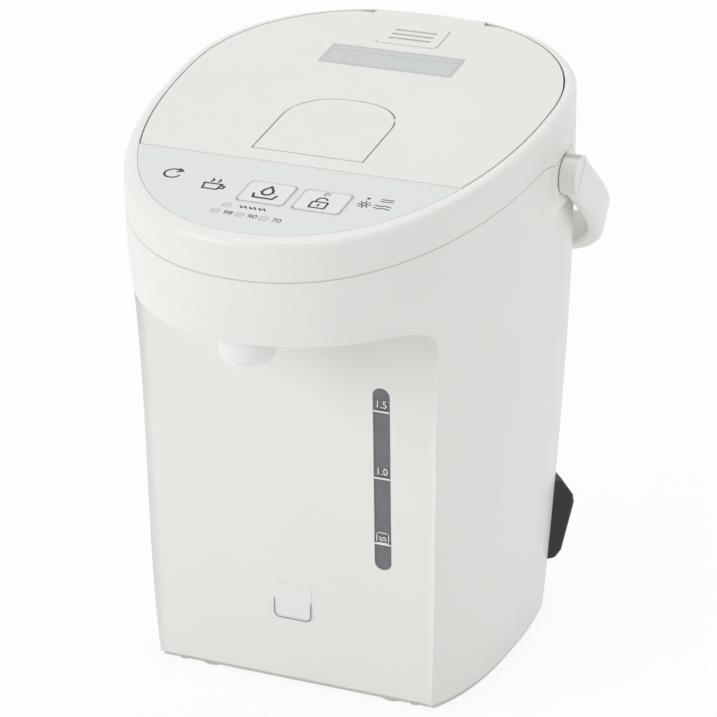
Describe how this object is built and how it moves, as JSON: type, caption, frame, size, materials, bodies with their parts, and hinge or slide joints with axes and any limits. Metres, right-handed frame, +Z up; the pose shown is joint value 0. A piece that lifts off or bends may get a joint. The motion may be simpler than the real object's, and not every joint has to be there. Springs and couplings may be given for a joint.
{
  "type": "electric thermo pot",
  "caption": "Free-standing electric hot-water pot with a tapered oval body, overhanging head, sloping hinged lid with a pull-up lever, touch panel, level window and swing-up bail.",
  "frame": {"origin": "centre of the bounding box's bottom face, on the surface the pot stands on", "axes": "+Z up; +X to the user's right when facing the panel; -Y towards the user, so the nozzle and panel are at -Y and the lid's hinge at +Y; the body is near-symmetric about X = 0"},
  "size_m": [0.2128, 0.2563, 0.281],
  "materials": {
    "case_white": "moulded, semi-gloss",
    "lever_white": "moulded, semi-gloss",
    "key_white": "moulded, smooth",
    "film_grey": "flexible overlay, satin",
    "lens_clear": "translucent lens",
    "board_green": "circuit board laminate",
    "steel_liner": "drawn and brushed",
    "aluminium_cup": "turned",
    "liner_grey": "moulded, matte",
    "pump_plastic": "moulded, matte",
    "motor_steel": "plated can",
    "pipe_silicone": "silicone hose, matte",
    "gauge_glass": "clear tube",
    "window_dark": "smoked clear plastic window",
    "channel_dark": "moulded, matte",
    "badge_silver": "bare plate, satin",
    "nozzle_grey": "moulded, matte",
    "base_grey": "moulded, matte",
    "screw_steel": "plated",
    "foot_rubber": "matte",
    "inlet_black": "moulded, matte",
    "pin_brass": "bare pins",
    "pin_plate": "plated magnet plate",
    "seal_silicone": "silicone seal",
    "vent_grey": "moulded, satin",
    "label_grey": "plain plate, satin"
  },
  "bodies": {
    "pot": {"outer_case": "case_white", "top_frame": "case_white", "panel_film": "film_grey", "indicator_lenses": "lens_clear", "control_board": "board_green", "inner_container": "steel_liner", "heater_band": "steel_liner", "sensor_cup": "aluminium_cup", "well_deck": "liner_grey", "pump_housing": "pump_plastic", "pump_motor": "motor_steel", "riser_pipe": "pipe_silicone", "gauge_tube": "gauge_glass", "outlet_pipe": "pipe_silicone", "gauge_window": "window_dark", "gauge_channel": "channel_dark", "badge_plate": "badge_silver", "nozzle": "nozzle_grey", "base_plate": "base_grey", "base_screws": "screw_steel", "feet": "foot_rubber", "power_board": "board_green", "inlet_housing": "inlet_black", "inlet_pins": "pin_brass", "inlet_plate": "pin_plate", "pivot_pins": "base_grey", "boss_left": "case_white", "boss_right": "case_white", "hinge_pin": "screw_steel"},
    "lid": {"lid_cover": "case_white", "lid_tray": "liner_grey", "inner_lid": "steel_liner", "lid_gasket": "seal_silicone", "vent_cap": "vent_grey", "label_plate": "label_grey"},
    "lever": {"lid_lever": "lever_white"},
    "latch": {"latch_bolt": "nozzle_grey"},
    "bail": {"bail_handle": "case_white"},
    "dispense": {"key_dispense": "key_white"},
    "unlock": {"key_unlock": "key_white"},
    "impeller": {"pump_impeller": "pump_plastic"}
  },
  "joints": [
    {"name": "lid_hinge", "type": "hinge", "parent": "pot", "child": "lid", "pos_m": [0, 0.1033, 0.2772], "axis": [-1, 0, 0], "range_deg": [0, 80]},
    {"name": "lever_hinge", "type": "hinge", "parent": "lid", "child": "lever", "pos_m": [0, -0.00361, 0.26218], "axis": [-1, 0, 0], "range_deg": [0, 28]},
    {"name": "latch_slide", "type": "slide", "parent": "lid", "child": "latch", "axis": [0, 0.9889, 0.1483], "range_m": [0, 0.004]},
    {"name": "bail_hinge", "type": "hinge", "parent": "pot", "child": "bail", "pos_m": [0, 0.02, 0.241], "axis": [1, 0, 0], "range_deg": [0, 125]},
    {"name": "dispense_press", "type": "slide", "parent": "pot", "child": "dispense", "axis": [0, 0.1483, -0.9889], "range_m": [0, 0.0006], "stiffness_N_per_m": 800},
    {"name": "unlock_press", "type": "slide", "parent": "pot", "child": "unlock", "axis": [0, 0.1483, -0.9889], "range_m": [0, 0.0006], "stiffness_N_per_m": 800},
    {"name": "impeller_spin", "type": "hinge", "parent": "pot", "child": "impeller", "pos_m": [0.03, -0.018, 0.03], "axis": [0, 0, 1], "continuous": true}
  ],
  "couplings": [
    {"joint": "latch_slide", "follows": "lever_hinge", "m_per_rad": 0.00819}
  ]
}
